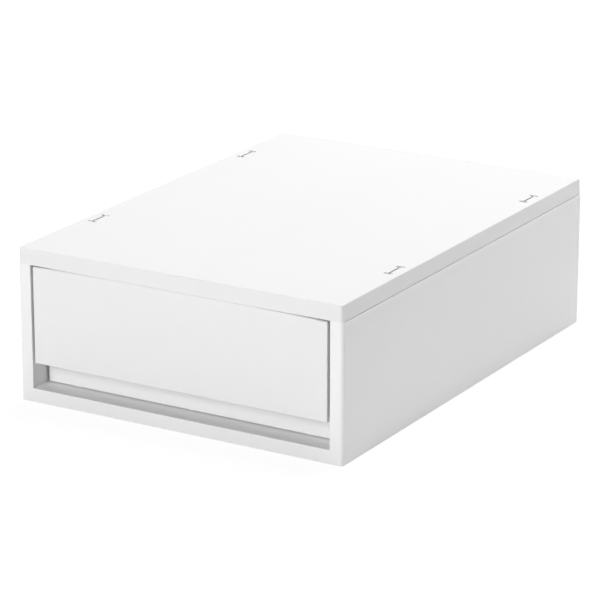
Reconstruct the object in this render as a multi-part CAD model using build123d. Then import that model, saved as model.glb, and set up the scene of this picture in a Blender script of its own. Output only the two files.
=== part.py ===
from build123d import *
from math import atan2, degrees
import os

# A stackable drawer box for sheets and small parts: a double-walled case moulded in one piece, a
# clipped-on top panel with four joint slots, a drawer tray with a clipped-on front, and foot pads.
# Millimetres. X runs across the front, Y from the front (-Y) to the back, and Z up from the surface
# that the box stands on; the origin is under the middle of the box.

# Case, outside
case_width = 260.0
case_depth = 356.0
case_height = 112.0         # from the case's own bottom edge to the top face
corner_radius = 2.6         # upright corners
bottom_round = 0.4          # bottom edge
top_round = 0.5             # upper edge of the top panel
ledge_round = 0.8           # upper edge of the side and back walls, below the seam
seam_round = 0.2            # lower edge of the top panel, above the seam
opening_round = 0.5         # inner edges of the posts and the sill

# Case walls
skin = 2.2                  # outer walls and skirt
inner_skin = 1.8            # wall between a side's hollow and the drawer bay
post_width = 10.1           # front posts, as wide as the double walls behind them
sill_height = 10.0          # bottom edge to the floor that the drawer slides on
floor_thickness = 2.2
web_thickness = 1.6         # webs that join the two skins of a side
web_pitch = 45.0

# Top panel
lid_height = 11.6           # rim, from the seam to the top face
lid_inset = 0.5             # its rim stands back from the side and back walls; the front is flush
lid_lean = 0.5              # how far the rim leans in from the seam to the top
lid_plate = 2.5
lid_rim = 2.2
seam_reveal = 0.4           # open line between the rim and the side and back walls
tongue_depth = 4.0          # locating tongue that stands on the webs
tongue_thickness = 1.6
lid_rib_depth = 4.0

# Ribs under the floor and under the top panel
rib_thickness = 1.5
lid_rib_pitch = 33.0
floor_rib_pitch = 64.0
floor_rib_recess = 1.5      # how far the lengthwise floor ribs end above the skirt's edge
floor_cross_depth = 2.5     # the crosswise ones are low

# Stacking joint slots: an I-shaped hole, its web along Y with a cross-bar at each end
slot_inset = 9.5            # from the case's side to the slot's middle
slot_front = 86.0           # from the front to the front pair
slot_back = 69.0            # from the back to the back pair
slot_length = 20.0
slot_width = 6.4            # across the cross-bars
slot_bar = 2.8
slot_web = 1.6
slot_depth = 8.0
socket_depth = 6.0          # the matching holes in the underside
boss_wall = 1.5

# Snap hooks of the top panel, three a side, inside the hollow walls
snap_width = 12.0
snap_thickness = 1.6
snap_drop = 13.0            # seam to the catch face
catch_depth = 1.2           # how far a barb reaches past its arm
barb_height = 4.0
barb_land = 1.0

# Drawer
recess_depth = 17.0         # drawer's lower face, back from the front
recess_height = 18.9        # floor to the lower edge of the front panel
side_gap = 2.0              # drawer front to post
top_gap_ends = 1.2          # drawer front to rim at the posts
top_gap_middle = 0.12       # the same between the two ends
top_gap_run = 55.0          # length over which the gap opens towards each post
front_skin = 2.2
front_round = 0.7
tray_front_wall = 2.0
tray_front_lift = 0.9       # lower edge of that wall to the floor of the bay
tray_wall = 1.8
tray_floor = 1.8
tray_lean = 1.2             # how far the tray's walls spread from floor to rim
tray_gap = 3.9              # tray wall to bay wall, at the rim
tray_corner = 6.0           # inside corner radius
tray_cove = 4.0             # radius between walls and floor, inside
lip_thickness = 1.6
skid_height = 1.2
skid_width = 4.0
skid_inset = 26.0           # outer skids, in from the bay walls
tray_clear_back = 8.3       # rim lip to the inside of the back wall
buffer_thickness = 1.8      # ribs on the back wall that the closed drawer meets

# How the drawer front is held on the tray
front_hook = 1.6            # lip that hooks over the tray's front wall
front_hook_drop = 4.0
arm_spacing = 80.0
arm_width = 12.0
arm_thickness = 2.0
arm_height = 50.0           # above the floor of the bay
spacer_thickness = 1.5      # ribs that hold the front off the tray's wall

# Drawer stop and side guides
stop_from_front = 66.0      # front of the box to the stop ribs' front face
stop_thickness = 1.8
stop_half_spacing = 96.0
stop_width = 24.0
lug_width = 16.0
lug_height = 6.0            # above the tray's rim
lug_slit = 1.5
lug_slit_depth = 16.0
stop_clearance = 0.8        # lug's top to the ribs it passes under
guide_length = 6.0
guide_front = 40.0          # front of the box to the front guides
guide_back = 120.0          # back of the box to the back guides
guide_clearance = 0.5

# Foot pads
foot_radius = 7.0
foot_proud = 0.6            # how far the pads lift the case
foot_seat = 1.6             # depth of the seat that a pad sits in
foot_edge = 0.4             # bevel of a pad's lower edge
stem_radius = 2.8
stem_length = 3.5
foot_inset = 25.0           # case sides to a pad's middle

# Fits
clearance = 0.3             # between pieces that move or snap together
press_clearance = 0.05      # pad in its seat
over = 1.0                  # how far a cut runs past the face that it opens

# Places that follow from the sizes
half_width = case_width / 2
front = -case_depth / 2
back = case_depth / 2
case_bottom = foot_proud
lid_top = case_bottom + case_height
seam = lid_top - lid_height
case_top = seam - seam_reveal
floor_top = case_bottom + sill_height
floor_under = floor_top - floor_thickness
skin_inside = half_width - skin
front_inside = front + skin
back_inside = back - skin
bay_half = half_width - post_width
hollow_half = bay_half + inner_skin
plate_under = lid_top - lid_plate
lid_rib_low = plate_under - lid_rib_depth
slot_x = half_width - slot_inset
slot_rows = (front + slot_front, back - slot_back)
boss_half_width = slot_width / 2 + boss_wall
boss_half_length = slot_length / 2 + boss_wall

tray_front = front + recess_depth
tray_bottom = floor_top + clearance + skid_height
front_half = bay_half - side_gap
front_low = floor_top + recess_height
front_top_ends = seam - top_gap_ends
front_top_middle = seam - top_gap_middle
rim_top = front_top_ends - front_skin
tray_half = bay_half - tray_gap
lip_half = front_half
lip_reach = lip_half - tray_half
lip_back = back_inside - tray_clear_back
tray_back = lip_back - lip_reach
buffer_front = lip_back + clearance
arm_low = floor_top + arm_height
snap_catch = seam - snap_drop
snap_x = hollow_half + clearance
lug_top = lid_rib_low - stop_clearance
stop_low = rim_top + lug_height / 2
stop_front = front + stop_from_front
foot_places = [(sx * (half_width - foot_inset), sy * (back - foot_inset)) for sx in (-1, 1) for sy in (-1, 1)]

# Upright webs split each hollow side wall into equal cells; three of them hold snap hooks.
hollow_length = back_inside - front_inside
cell_count = max(3, round(hollow_length / web_pitch))
cell_pitch = (hollow_length + web_thickness) / cell_count
cell_length = cell_pitch - web_thickness
cell_middles = [front_inside + cell_length / 2 + i * cell_pitch for i in range(cell_count)]
snap_rows = [cell_middles[i] for i in (0, cell_count // 2, cell_count - 1)]


def around(middle, size):
    """The (low, high) pair of a length that is centred on a place."""
    return (middle - size / 2, middle + size / 2)


def both_ways(half):
    """The (low, high) pair from -half to half."""
    return (-half, half)


def block(x, y, z):
    """A box between the (low, high) pairs x, y and z."""
    lengths = [high - low for low, high in (x, y, z)]
    return Pos(x[0], y[0], z[0]) * Box(*lengths, align=(Align.MIN, Align.MIN, Align.MIN))


def plan(x, y, z, radius):
    """A level rectangle with round corners, at height z."""
    outline = RectangleRounded(x[1] - x[0], y[1] - y[0], radius)
    return Pos((x[0] + x[1]) / 2, (y[0] + y[1]) / 2, z) * outline


def rounded_block(x, y, z, radius, taper=0.0):
    """A box with its upright corners rounded, and its sides leaning in by taper degrees going up."""
    return extrude(plan(x, y, z[0], radius), z[1] - z[0], taper=taper)


def side_profile(points, y, width):
    """A solid with the outline of (x, z) points, as long as width along Y, about the place y."""
    face = Plane.XZ * make_face(Polyline(*points, close=True))
    return Pos(0, y, 0) * extrude(face, width / 2, both=True)


def end_profile(points, x, width):
    """A solid with the outline of (y, z) points, as long as width along X, about the place x."""
    face = Plane.YZ * make_face(Polyline(*points, close=True))
    return Pos(x, 0, 0) * extrude(face, width / 2, both=True)


def with_mirrored(shapes):
    """The shapes of the right-hand side and their mirror images on the left."""
    return shapes + [mirror(shape, about=Plane.YZ) for shape in shapes]


def rib_places(span, pitch):
    """Where ribs stand that split a (low, high) span into equal bays, each about as wide as pitch."""
    bays = max(1, round((span[1] - span[0]) / pitch))
    return [span[0] + (span[1] - span[0]) * i / bays for i in range(1, bays)]


def ribs_along(x, y, z, pitch):
    """Ribs that run from front to back."""
    return [block(around(place, rib_thickness), y, z) for place in rib_places(x, pitch)]


def ribs_across(x, y, z, pitch):
    """Ribs that run from side to side."""
    return [block(x, around(place, rib_thickness), z) for place in rib_places(y, pitch)]


def joint_holes(z):
    """The four I-shaped holes of the stacking joints, between the heights z."""
    shape = Rectangle(slot_web, slot_length)
    for way in (-1, 1):
        shape += Pos(0, way * (slot_length - slot_bar) / 2) * Rectangle(slot_width, slot_bar)
    return with_mirrored([extrude(Pos(slot_x, y, z[0]) * shape, z[1] - z[0]) for y in slot_rows])


def joint_bosses(z):
    """The blocks round those holes."""
    x = around(slot_x, 2 * boss_half_width)
    return with_mirrored([block(x, around(y, 2 * boss_half_length), z) for y in slot_rows])


def upright_cylinder(place, radius, z):
    """A cylinder about an upright axis through the (x, y) place."""
    return Pos(*place, z[0]) * Cylinder(radius, z[1] - z[0], align=(Align.CENTER, Align.CENTER, Align.MIN))


def case_body():
    """Floor, sill, posts, double side walls and back wall, in one moulding that is open at the top."""
    body = rounded_block(both_ways(half_width), (front, back), (case_bottom, case_top), corner_radius)
    body = fillet(body.faces().sort_by(Axis.Z)[0].edges(), bottom_round)
    body = fillet(body.faces().sort_by(Axis.Z)[-1].edges(), ledge_round)

    # The posts run on up to the seam, so the top panel closes on them without an open line
    heads = rounded_block(both_ways(half_width), (front, back), (case_top - corner_radius, seam), corner_radius)
    head_y, head_z = (front - over, front + corner_radius), (case_top - corner_radius, seam + over)
    body += heads & block(both_ways(half_width + over), head_y, head_z)

    # The drawer bay, open at the front, and the hollows of the side walls with the tongue's channel
    hollow_x = (hollow_half, skin_inside)
    cells = [block(hollow_x, around(y, cell_length), (floor_top, case_top + over)) for y in cell_middles]
    channel_z = (seam - tongue_depth, case_top + over)
    channel = block(hollow_x, (front_inside, back_inside), channel_z)
    back_channel_y = (back_inside - 2 * clearance - tongue_thickness, back_inside)
    back_channel = block(both_ways(skin_inside), back_channel_y, channel_z)
    bay = block(both_ways(bay_half), (front - over, back_inside), (floor_top, case_top + over))
    body -= [bay, back_channel] + with_mirrored(cells + [channel])
    inner_edges = body.edges().filter_by_position(Axis.Y, front, front)
    inner_edges = inner_edges.filter_by_position(Axis.X, -bay_half, bay_half)
    body = fillet(inner_edges.filter_by_position(Axis.Z, floor_top, case_top), opening_round)

    # Underside: a skirt all round, crossing ribs, and bosses for the joints and the foot pads
    under_x, under_y = both_ways(skin_inside), (front_inside, back_inside)
    body -= block(under_x, under_y, (case_bottom - over, floor_under))
    body += ribs_along(under_x, under_y, (case_bottom + floor_rib_recess, floor_under), floor_rib_pitch)
    body += ribs_across(under_x, under_y, (floor_under - floor_cross_depth, floor_under), floor_rib_pitch)
    body += joint_bosses((case_bottom, floor_under))
    seat_boss = foot_radius + boss_wall
    body += [upright_cylinder(place, seat_boss, (case_bottom, floor_under)) for place in foot_places]
    body -= joint_holes((case_bottom - over, case_bottom + socket_depth))
    seat_top = case_bottom + foot_seat
    stem_top = seat_top + stem_length + clearance
    for place in foot_places:
        seat = upright_cylinder(place, foot_radius + press_clearance, (case_bottom - over, seat_top))
        body -= seat + upright_cylinder(place, stem_radius + press_clearance, (seat_top, stem_top))

    # Windows that the snap hooks catch in, guides for the tray's rim, and buffers on the back wall
    window_z = (snap_catch - barb_height - clearance, snap_catch + clearance)
    window_x = (bay_half - over, hollow_half + over)
    windows = [block(window_x, around(y, snap_width + 2 * clearance), window_z) for y in snap_rows]
    body -= with_mirrored(windows)
    guide_x = (lip_half + guide_clearance, bay_half + inner_skin / 2)
    guide_rows = (front + guide_front, back - guide_back)
    guides = [block(guide_x, around(y, guide_length), (floor_top, rim_top)) for y in guide_rows]
    body += with_mirrored(guides)
    buffer_y = (buffer_front, back_inside)
    buffer_z = (floor_top, seam - tongue_depth)
    for x in (-arm_spacing, 0, arm_spacing):
        body += block(around(x, buffer_thickness), buffer_y, buffer_z)
    return body


def snap_hook(y):
    """A snap hook of the top panel's right side: a long arm with a barb that points at the bay."""
    arm = block((snap_x, snap_x + snap_thickness), around(y, snap_width), (snap_catch - barb_height, plate_under))
    tip = snap_x - clearance - catch_depth
    barb = [(snap_x, snap_catch), (tip, snap_catch), (tip, snap_catch - barb_land), (snap_x, snap_catch - barb_height)]
    return arm + side_profile(barb, y, snap_width)


def top_panel():
    """Top plate with a leaning rim, ribs, blind joint slots, tongue, snap hooks and drawer stops."""
    outside = (both_ways(half_width - lid_inset), (front, back - lid_inset), (seam, lid_top))
    lid = rounded_block(*outside, corner_radius - lid_inset, taper=degrees(atan2(lid_lean, lid_height)))
    lid = fillet(lid.faces().sort_by(Axis.Z)[-1].edges(), top_round)
    lid = fillet(lid.faces().sort_by(Axis.Z)[0].edges(), seam_round)

    rim = lid_inset + lid_rim
    inside_x, inside_y = both_ways(half_width - rim), (front + lid_rim, back - rim)
    lid -= block(inside_x, inside_y, (seam - over, plate_under))
    rib_z = (lid_rib_low, plate_under)
    lid += ribs_along(inside_x, inside_y, rib_z, lid_rib_pitch)
    lid += ribs_across(inside_x, inside_y, rib_z, lid_rib_pitch)
    lid += joint_bosses((lid_top - slot_depth - boss_wall, plate_under))

    # Tongue on three sides: it keeps the panel in line and stands on the webs and buffers
    tongue_out = skin_inside - clearance
    tongue_in = tongue_out - tongue_thickness
    tongue_y = (front_inside + clearance, back_inside - clearance)
    tongue_z = (seam - tongue_depth, plate_under)
    lid += with_mirrored([block((tongue_in, tongue_out), tongue_y, tongue_z)])
    back_y = (tongue_y[1] - tongue_thickness, tongue_y[1])
    lid += block(both_ways(tongue_out), back_y, tongue_z)
    lid += with_mirrored([snap_hook(y) for y in snap_rows])

    # Drawer stops: a rib for each lug of the tray, with two gussets in front of it
    stop_y = (stop_front, stop_front + stop_thickness)
    gusset = [(stop_front, stop_low), (stop_front, plate_under), (stop_front - lug_width, plate_under)]
    stops = [block(around(stop_half_spacing, stop_width), stop_y, (stop_low, plate_under))]
    for way in (-1, 1):
        gusset_x = stop_half_spacing + way * (stop_width - stop_thickness) / 2
        stops.append(end_profile(gusset, gusset_x, stop_thickness))
    lid += with_mirrored(stops)
    return lid - joint_holes((lid_top - slot_depth, lid_top + over))


def snap_windows():
    """The holes in the tray's front wall that the drawer front's arms pass through."""
    y = (tray_front - over, tray_front + tray_front_wall + over)
    z = (arm_low - clearance, arm_low + arm_thickness + catch_depth + clearance)
    return [block(around(x, arm_width + 2 * clearance), y, z) for x in (-arm_spacing, 0, arm_spacing)]


def drawer_tray():
    """A deep tray with leaning walls, a turned-out rim, skids below and two stop lugs at the back."""
    taper = -degrees(atan2(tray_lean, rim_top - tray_bottom))
    low_half, low_back = tray_half - tray_lean, tray_back - tray_lean
    outer_radius = tray_corner + tray_wall
    outside = (both_ways(low_half), (tray_front + tray_lean, low_back), (tray_bottom, rim_top))
    tray = rounded_block(*outside, outer_radius, taper)
    tray = chamfer(tray.faces().sort_by(Axis.Z)[0].edges(), tray_cove / 2)

    wall_z = (floor_top + tray_front_lift, rim_top)
    tray += block(both_ways(lip_half), (tray_front, tray_front + tray_front_wall), wall_z)
    lip_plan = (both_ways(lip_half), (tray_front, lip_back), (rim_top - lip_thickness, rim_top))
    tray += rounded_block(*lip_plan, tray_front_wall / 2)
    skid_y = (tray_front + tray_front_wall / 2, low_back - outer_radius)
    skid_z = (floor_top + clearance, tray_bottom + tray_floor / 2)
    for x in (skid_inset - bay_half, 0, bay_half - skid_inset):
        tray += block(around(x, skid_width), skid_y, skid_z)

    # The inside: the walls' lean again, one wall thickness in
    floor = tray_bottom + tray_floor
    lean_in = tray_lean * (rim_top - floor) / (rim_top - tray_bottom)
    inner_front = tray_front + tray_front_wall
    high_half, high_back = tray_half - tray_wall, tray_back - tray_wall
    inner_y = (inner_front + lean_in, high_back - lean_in)
    inside = rounded_block(both_ways(high_half - lean_in), inner_y, (floor, rim_top), tray_corner, taper)
    tray -= fillet(inside.faces().sort_by(Axis.Z)[0].edges(), tray_cove)
    tray -= snap_windows()

    # Stop lugs: springy tabs of the back wall, freed by a slit on each side, sloped at the back
    lug_y = (tray_back - tray_wall, lip_back)
    lug = [(lug_y[0], rim_top), (lug_y[0], lug_top), (tray_back, lug_top), (lug_y[1], rim_top)]
    slit_x = (lug_width + lug_slit) / 2
    slit_y = (lug_y[0] - tray_corner, lug_y[1] + over)
    slit_z = (rim_top - lug_slit_depth, rim_top + over)
    lugs = [end_profile(lug, stop_half_spacing, lug_width)]
    slits = [block(around(stop_half_spacing + way * slit_x, lug_slit), slit_y, slit_z) for way in (-1, 1)]
    return tray + with_mirrored(lugs) - with_mirrored(slits)


def drawer_front():
    """The hollow front panel: drooping top corners, open underside for the fingers, hook lip and arms."""
    crown_half = front_half - top_gap_run
    corner = (front_half, front_top_ends)
    droop = TangentArc((crown_half, front_top_middle), corner, tangent=(1, 0))
    half_outline = [
        Polyline((0, front_low), (front_half, front_low), corner),
        droop,
        Polyline((crown_half, front_top_middle), (0, front_top_middle), (0, front_low)),
    ]
    half_panel = make_face(half_outline)
    outline = Plane.XZ.offset(-front) * (half_panel + mirror(half_panel, about=Plane.YZ))
    panel = extrude(outline, tray_front - front, dir=(0, 1, 0))
    panel = fillet(panel.faces().sort_by(Axis.Y)[0].edges(), front_round)
    inside_y = (front + front_skin, tray_front + over)
    panel -= block(both_ways(front_half - front_skin), inside_y, (front_low - over, rim_top))

    # The top runs on over the tray's front wall and hooks down behind it
    hook_y = (tray_front + tray_front_wall + clearance, tray_front + tray_front_wall + clearance + front_hook)
    panel += block(both_ways(front_half), (tray_front - front_skin, hook_y[1]), (rim_top, front_top_ends))
    hook_half = tray_half - tray_wall - tray_corner
    panel += block(both_ways(hook_half), hook_y, (rim_top - front_hook_drop, rim_top))

    # Arms with barbs snap through the wall's windows; spacer ribs above them set the distance
    barb_y = (tray_front + tray_front_wall + clearance, tray_front + tray_front_wall + clearance + barb_height)
    arm_top = arm_low + arm_thickness
    barb = [(barb_y[0], arm_top), (barb_y[0], arm_top + catch_depth), (barb_y[0] + barb_land, arm_top + catch_depth)]
    barb.append((barb_y[1], arm_top))
    arm_y = (front + front_skin / 2, barb_y[1])
    for x in (-arm_spacing, 0, arm_spacing):
        panel += block(around(x, arm_width), arm_y, (arm_low, arm_top))
        panel += end_profile(barb, x, arm_width)
        for way in (-1, 1):
            spacer_x = x + way * (arm_width + spacer_thickness) / 2
            spacer_y = (front + front_skin / 2, tray_front)
            panel += block(around(spacer_x, spacer_thickness), spacer_y, (arm_low, rim_top + front_skin / 2))
    return panel


def foot_pad(place):
    """A soft round pad with a stem that presses into the underside of the case."""
    seat_top = case_bottom + foot_seat
    pad = upright_cylinder(place, foot_radius, (0, seat_top))
    pad = chamfer(pad.faces().sort_by(Axis.Z)[0].edges(), foot_edge)
    return pad + upright_cylinder(place, stem_radius, (seat_top, seat_top + stem_length))


os.makedirs("parts", exist_ok=True)
pieces = {
    "case_body": case_body(),
    "top_panel": top_panel(),
    "drawer_tray": drawer_tray(),
    "drawer_front": drawer_front(),
}
foot_names = ("front_left", "back_left", "front_right", "back_right")
for name, place in zip(foot_names, foot_places):
    pieces["foot_pad_" + name] = foot_pad(place)
for name, piece in pieces.items():
    export_step(piece, "parts/" + name + ".step")
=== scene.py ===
"""A stackable drawer box of white polypropylene, closed, on a pale table in soft studio light.

The camera comes first. Then the script follows the box as it is put together: the case, its top panel,
the tray and front of the drawer, and the foot pads. The table and the lamps come last. Sizes are in
metres.
"""

from math import cos, radians, sin

import bpy
import numpy as np
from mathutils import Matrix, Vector


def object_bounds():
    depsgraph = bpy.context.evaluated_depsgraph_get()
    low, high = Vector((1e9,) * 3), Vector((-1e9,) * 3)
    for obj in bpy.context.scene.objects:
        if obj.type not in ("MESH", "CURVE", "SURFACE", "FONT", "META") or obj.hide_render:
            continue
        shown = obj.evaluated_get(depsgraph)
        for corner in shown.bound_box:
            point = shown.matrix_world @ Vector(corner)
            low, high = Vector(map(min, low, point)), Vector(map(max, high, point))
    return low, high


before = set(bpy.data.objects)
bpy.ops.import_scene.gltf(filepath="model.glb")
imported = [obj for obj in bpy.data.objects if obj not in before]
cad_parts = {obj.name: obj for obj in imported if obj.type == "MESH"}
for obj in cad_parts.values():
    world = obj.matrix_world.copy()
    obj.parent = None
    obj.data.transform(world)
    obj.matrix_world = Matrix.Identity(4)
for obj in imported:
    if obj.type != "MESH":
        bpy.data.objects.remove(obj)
cad_box = [list(corner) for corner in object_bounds()]
box_low, box_high = (Vector(corner) for corner in cad_box)
box_middle = (box_low + box_high) / 2

# Camera. A long lens looks down on the near right-hand corner, so that the front, the right side and
# the top show at once. It is aimed at a point near the middle of the box.
view_turn = radians(30.690)         # to the right of straight in front
view_drop = radians(18.032)         # down from level
view_distance = 2.2721
view_offset = Vector((-0.00456, -0.00656, -0.00964))     # from the middle of the box to that point
lens_length = 188.41                # millimetres, as the sensor's width is
sensor_width = 36.0
nearest_seen = 0.05
furthest_seen = 50.0

camera = bpy.data.objects.new("camera", bpy.data.cameras.new("camera"))
camera.data.lens = lens_length
camera.data.sensor_width = sensor_width
camera.data.clip_start = nearest_seen
camera.data.clip_end = furthest_seen
level_share = cos(view_drop)
towards_camera = Vector((sin(view_turn) * level_share, -cos(view_turn) * level_share, sin(view_drop)))
camera.location = box_middle + view_offset + towards_camera * view_distance
camera.rotation_euler = (radians(90) - view_drop, 0.0, view_turn)
bpy.context.scene.collection.objects.link(camera)
bpy.context.scene.camera = camera


# Case. One injection moulding of white polypropylene: floor, sill, posts, double side walls and back.
# Its outer faces carry a fine spark-eroded grain; handled corners are rubbed a little smoother.
class Field:
    """A value that varies over a surface: one output of a node. Arithmetic on it adds Math nodes."""

    def __init__(self, finish, socket):
        self.finish, self.socket = finish, socket

    def __add__(self, other):
        return self.finish.math("ADD", self, other)

    def __sub__(self, other):
        return self.finish.math("SUBTRACT", self, other)

    def __rsub__(self, other):
        return self.finish.math("SUBTRACT", other, self)

    def __mul__(self, other):
        return self.finish.math("MULTIPLY", self, other)

    __radd__, __rmul__ = __add__, __mul__


class Finish:
    """The nodes of a new material, or of the world. All of them are added by one method, node."""

    def __init__(self, owner):
        self.owner = owner
        owner.use_nodes = True
        self.tree = owner.node_tree
        self.tree.nodes.clear()

    def node(self, kind, inputs, output=None, **settings):
        """Adds a node of that kind, sets its settings, then the values or links of its sockets, and
        gives the output of that name, or its first one."""
        node = self.tree.nodes.new("ShaderNode" + kind)
        for name, value in settings.items():
            setattr(node, name, value)
        for name, value in inputs.items():
            named = [socket for socket in node.inputs if socket.enabled and socket.name == name]
            socket = node.inputs[name] if isinstance(name, int) else named[0]
            if isinstance(value, Field):
                self.tree.links.new(value.socket, socket)
            else:
                socket.default_value = value
        outputs = [socket for socket in node.outputs if socket.enabled and output in (None, socket.name)]
        return Field(self, outputs[0]) if outputs else None

    def math(self, operation, first, second, clamp=False):
        """One Math node, with its result held between 0 and 1 where clamp is set."""
        return self.node("Math", {0: first, 1: second}, operation=operation, use_clamp=clamp)

    def noise(self, place, cell, detail=2.0):
        """Noise from 0 to 1, mostly near 0.5, whose lumps are about cell metres across."""
        return self.node("TexNoise", {"Vector": place, "Scale": 1 / cell, "Detail": detail})

    def blend(self, share, first, second):
        """A colour between two others: the first at a share of 0, the second at 1."""
        sockets = {"Factor": share, "A": (*first, 1.0), "B": (*second, 1.0)}
        return self.node("Mix", sockets, data_type="RGBA")

    def bump(self, height, depth, under=None):
        """The normal of a surface whose height, from 0 to 1, stands for depth metres."""
        sockets = {"Height": height, "Distance": depth, "Strength": 1.0}
        if under:
            sockets["Normal"] = under
        return self.node("Bump", sockets)

    def close(self, shader):
        """Ends a material with its shader."""
        self.node("OutputMaterial", {"Surface": shader})
        return self.owner


def paint(node, material):
    """Puts a material on every slot of a CAD node."""
    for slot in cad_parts[node].material_slots:
        slot.material = material


def polypropylene(name, white, grain, roughness, offset):
    """Moulded polypropylene. Its white drifts by a few hundredths along the flow of the melt, the pits
    of the mould's texture are grain metres deep, and edges are rubbed smoother and paler. The offset
    moves the marks, so that no two mouldings have the same ones."""
    streak, wave, blotch, pit = 0.09, 0.045, 0.012, 0.00045     # how far across each kind of mark is
    melt_stretch = (1.0, 0.45, 1.0)                             # the marks run long from front to back
    wave_depth = 0.00008
    rubbed_radius = 0.0015
    rubbed_gain = 3.0
    dullest, brightest = 0.975, 1.015                           # times the white
    flow_shade, mottle_shade, rubbed_shade = 0.6, 0.25, 0.5     # shares of the way from dull to bright
    flow_sheen, pit_sheen, rubbed_sheen = 0.10, 0.16, 0.08      # changes of roughness
    refraction = 1.49

    finish = Finish(bpy.data.materials.new(name))
    spot = finish.node("TexCoord", {}, output="Object")
    moved = finish.node("Mapping", {"Vector": spot, "Location": offset, "Scale": melt_stretch})
    flow = finish.noise(moved, streak)
    mottle = finish.noise(moved, blotch, detail=3.0)
    pits = finish.noise(spot, pit)

    # An edge is where the normal of a rounded copy departs from the surface's own
    rounded = finish.node("Bevel", {"Radius": rubbed_radius})
    flat = finish.node("NewGeometry", {}, output="Normal")
    facing = finish.node("VectorMath", {0: rounded, 1: flat}, output="Value", operation="DOT_PRODUCT")
    rubbed = finish.math("MULTIPLY", 1.0 - facing, rubbed_gain, clamp=True)

    dull = tuple(channel * dullest for channel in white)
    bright = tuple(min(channel * brightest, 1.0) for channel in white)
    shade = flow * flow_shade + mottle * mottle_shade + rubbed * rubbed_shade
    colour = finish.blend(shade, dull, bright)
    sheen = roughness + (flow - 0.5) * flow_sheen + (pits - 0.5) * pit_sheen - rubbed * rubbed_sheen
    warp = finish.bump(finish.noise(moved, wave, detail=1.0), wave_depth)
    relief = finish.bump(pits, grain, under=warp)
    return finish.close(finish.node("BsdfPrincipled", {
        "Base Color": colour, "Roughness": sheen, "Normal": relief, "IOR": refraction}))


# The case's white is set lighter than the drawer front's and the top panel's. This is painted light that
# lifts its posts, sill and recess floor.
case_white_painted_light = (0.935, 0.935, 0.932)
case_grain = polypropylene(
    "case_grain", case_white_painted_light, grain=0.00003, roughness=0.46, offset=(0.31, 0.12, 0.07))
paint("case_body", case_grain)

# Top panel. A second moulding in the same plastic, hooked down onto the case; its plate lies open to
# the light and is wiped more than the sides, so its grain is a little shallower.
# The top panel's white is set below the case's. This is painted shade that darkens its front rim against
# the plate.
lid_white_painted_shade = (0.875, 0.875, 0.873)
lid_grain = polypropylene(
    "lid_grain", lid_white_painted_shade, grain=0.000025, roughness=0.44, offset=(0.63, 0.40, 0.22))
paint("top_panel", lid_grain)

# Drawer tray. It is moulded against a polished core, so its faces are satin and smoother than the
# case's grain.
# The tray's white is set as high as the case's. This is painted light that lifts the recess face under
# the drawer front.
tray_white_painted_light = (0.940, 0.940, 0.938)
tray_satin = polypropylene(
    "tray_satin", tray_white_painted_light, grain=0.000012, roughness=0.36, offset=(0.17, 0.74, 0.51))
paint("drawer_tray", tray_satin)

# Drawer front. A hollow cap with the case's grain. It hooks over the tray's front wall and snaps
# through it with two arms.
# The drawer front's white is set below the case's. This is painted shade that darkens its face.
front_white_painted_shade = (0.880, 0.880, 0.878)
front_grain = polypropylene(
    "front_grain", front_white_painted_shade, grain=0.00003, roughness=0.46, offset=(0.92, 0.28, 0.83))
paint("drawer_front", front_grain)


# Foot pads. Four soft elastomer discs, pressed into their seats under the case. Pale grey and dull,
# with the dust that such pads pick up.
def elastomer(name, grey):
    """Soft elastomer: a dull grey with fine specks, and shallow bumps about a millimetre across."""
    speck, lump = 0.0008, 0.003         # how far across each kind of mark is
    speck_depth = 0.00006
    speck_shade, lump_shade = 0.6, 0.4
    darkest = 0.9                       # times the grey
    roughness, speck_sheen = 0.78, 0.2
    refraction = 1.42

    finish = Finish(bpy.data.materials.new(name))
    spot = finish.node("TexCoord", {}, output="Object")
    specks = finish.noise(spot, speck, detail=4.0)
    lumps = finish.noise(spot, lump)
    dark = tuple(channel * darkest for channel in grey)
    colour = finish.blend(specks * speck_shade + lumps * lump_shade, dark, grey)
    return finish.close(finish.node("BsdfPrincipled", {
        "Base Color": colour, "Roughness": roughness + (specks - 0.5) * speck_sheen,
        "Normal": finish.bump(specks, speck_depth), "IOR": refraction}))


foot_grey = (0.75, 0.75, 0.74)
foot_rubber = elastomer("foot_rubber", foot_grey)
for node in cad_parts:
    if node.startswith("foot_pad"):
        paint(node, foot_rubber)

# Table. A pale matt sheet that the box stands on. The view sees most of it as plain white, with only
# a light shadow of the box left in it.
table_half = 6.0
table_white = (0.92, 0.92, 0.92)
table_fibre = 0.004
table_dull = 0.98                   # times the white, between the fibres
table_bare_share = 0.12             # how much of what the view sees is the lit sheet itself
table_glow = 1.05
corners = np.array([(-1, -1, 0), (1, -1, 0), (1, 1, 0), (-1, 1, 0)]) * table_half

table_mesh = bpy.data.meshes.new("table")
table_mesh.from_pydata(corners.tolist(), [], [(0, 1, 2, 3)])
table = bpy.data.objects.new("table", table_mesh)
bpy.context.scene.collection.objects.link(table)


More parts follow.
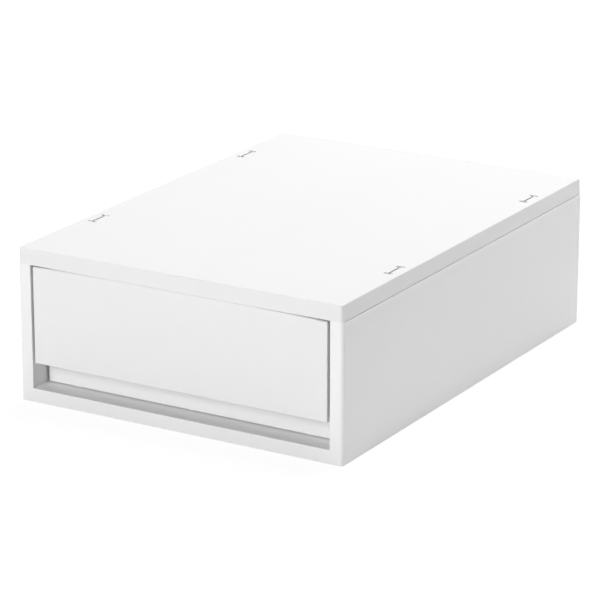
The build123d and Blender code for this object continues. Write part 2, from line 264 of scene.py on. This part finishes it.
def seen_directly(finish):
    """1 for what the view sees, by itself or in a gloss or through clear material, and 0 for light."""
    kinds = ("Camera", "Glossy", "Transmission")
    rays = [finish.node("LightPath", {}, output=f"Is {kind} Ray") for kind in kinds]
    return finish.math("ADD", rays[0] + rays[1], rays[2], clamp=True)


sheet = Finish(bpy.data.materials.new("table_sheet"))
fibres = sheet.noise(sheet.node("TexCoord", {}, output="Object"), table_fibre, detail=4.0)
between = tuple(channel * table_dull for channel in table_white)
matt = sheet.node("BsdfDiffuse", {"Color": sheet.blend(fibres, between, table_white)})
glow = sheet.node("Emission", {"Strength": table_glow})
table_mesh.materials.append(sheet.close(sheet.node("MixShader", {
    0: seen_directly(sheet) * (1 - table_bare_share), 1: matt, 2: glow})))


# Lamps. Large square diffusers round the box, in a dim pale room: a broad one overhead and a little
# behind, a strong one in front, and weaker ones on the left and at the back right.
def softbox(name, place, side, watts):
    """A square diffuser, side metres across, that faces the middle of the box."""
    lamp = bpy.data.lights.new(name, "AREA")
    lamp.shape = "SQUARE"
    lamp.size = side
    lamp.energy = watts
    panel = bpy.data.objects.new(name, lamp)
    panel.location = place
    panel.rotation_euler = (box_middle - Vector(place)).to_track_quat("-Z", "Y").to_euler()
    bpy.context.scene.collection.objects.link(panel)


softbox("overhead", place=(0.1, 1.0, 2.2), side=1.8, watts=51.0)
softbox("front", place=(-0.25, -2.5, 0.95), side=1.4, watts=38.0)
softbox("left", place=(-2.4, 1.0, 0.9), side=1.3, watts=8.0)
softbox("right_back", place=(1.95, 1.8, 0.77), side=1.2, watts=14.0)

room_white = (1.0, 1.0, 1.0, 1.0)
room_strength = 0.07                # as light; the view sees the room at full white
room = bpy.data.worlds.new("room")
bpy.context.scene.world = room
walls = Finish(room)
as_light = walls.node("Background", {"Color": room_white, "Strength": room_strength})
as_seen = walls.node("Background", {"Color": room_white, "Strength": 1.0})
walls.node("OutputWorld", {
    "Surface": walls.node("MixShader", {0: seen_directly(walls), 1: as_light, 2: as_seen})})

bpy.context.scene.view_settings.view_transform = "Standard"
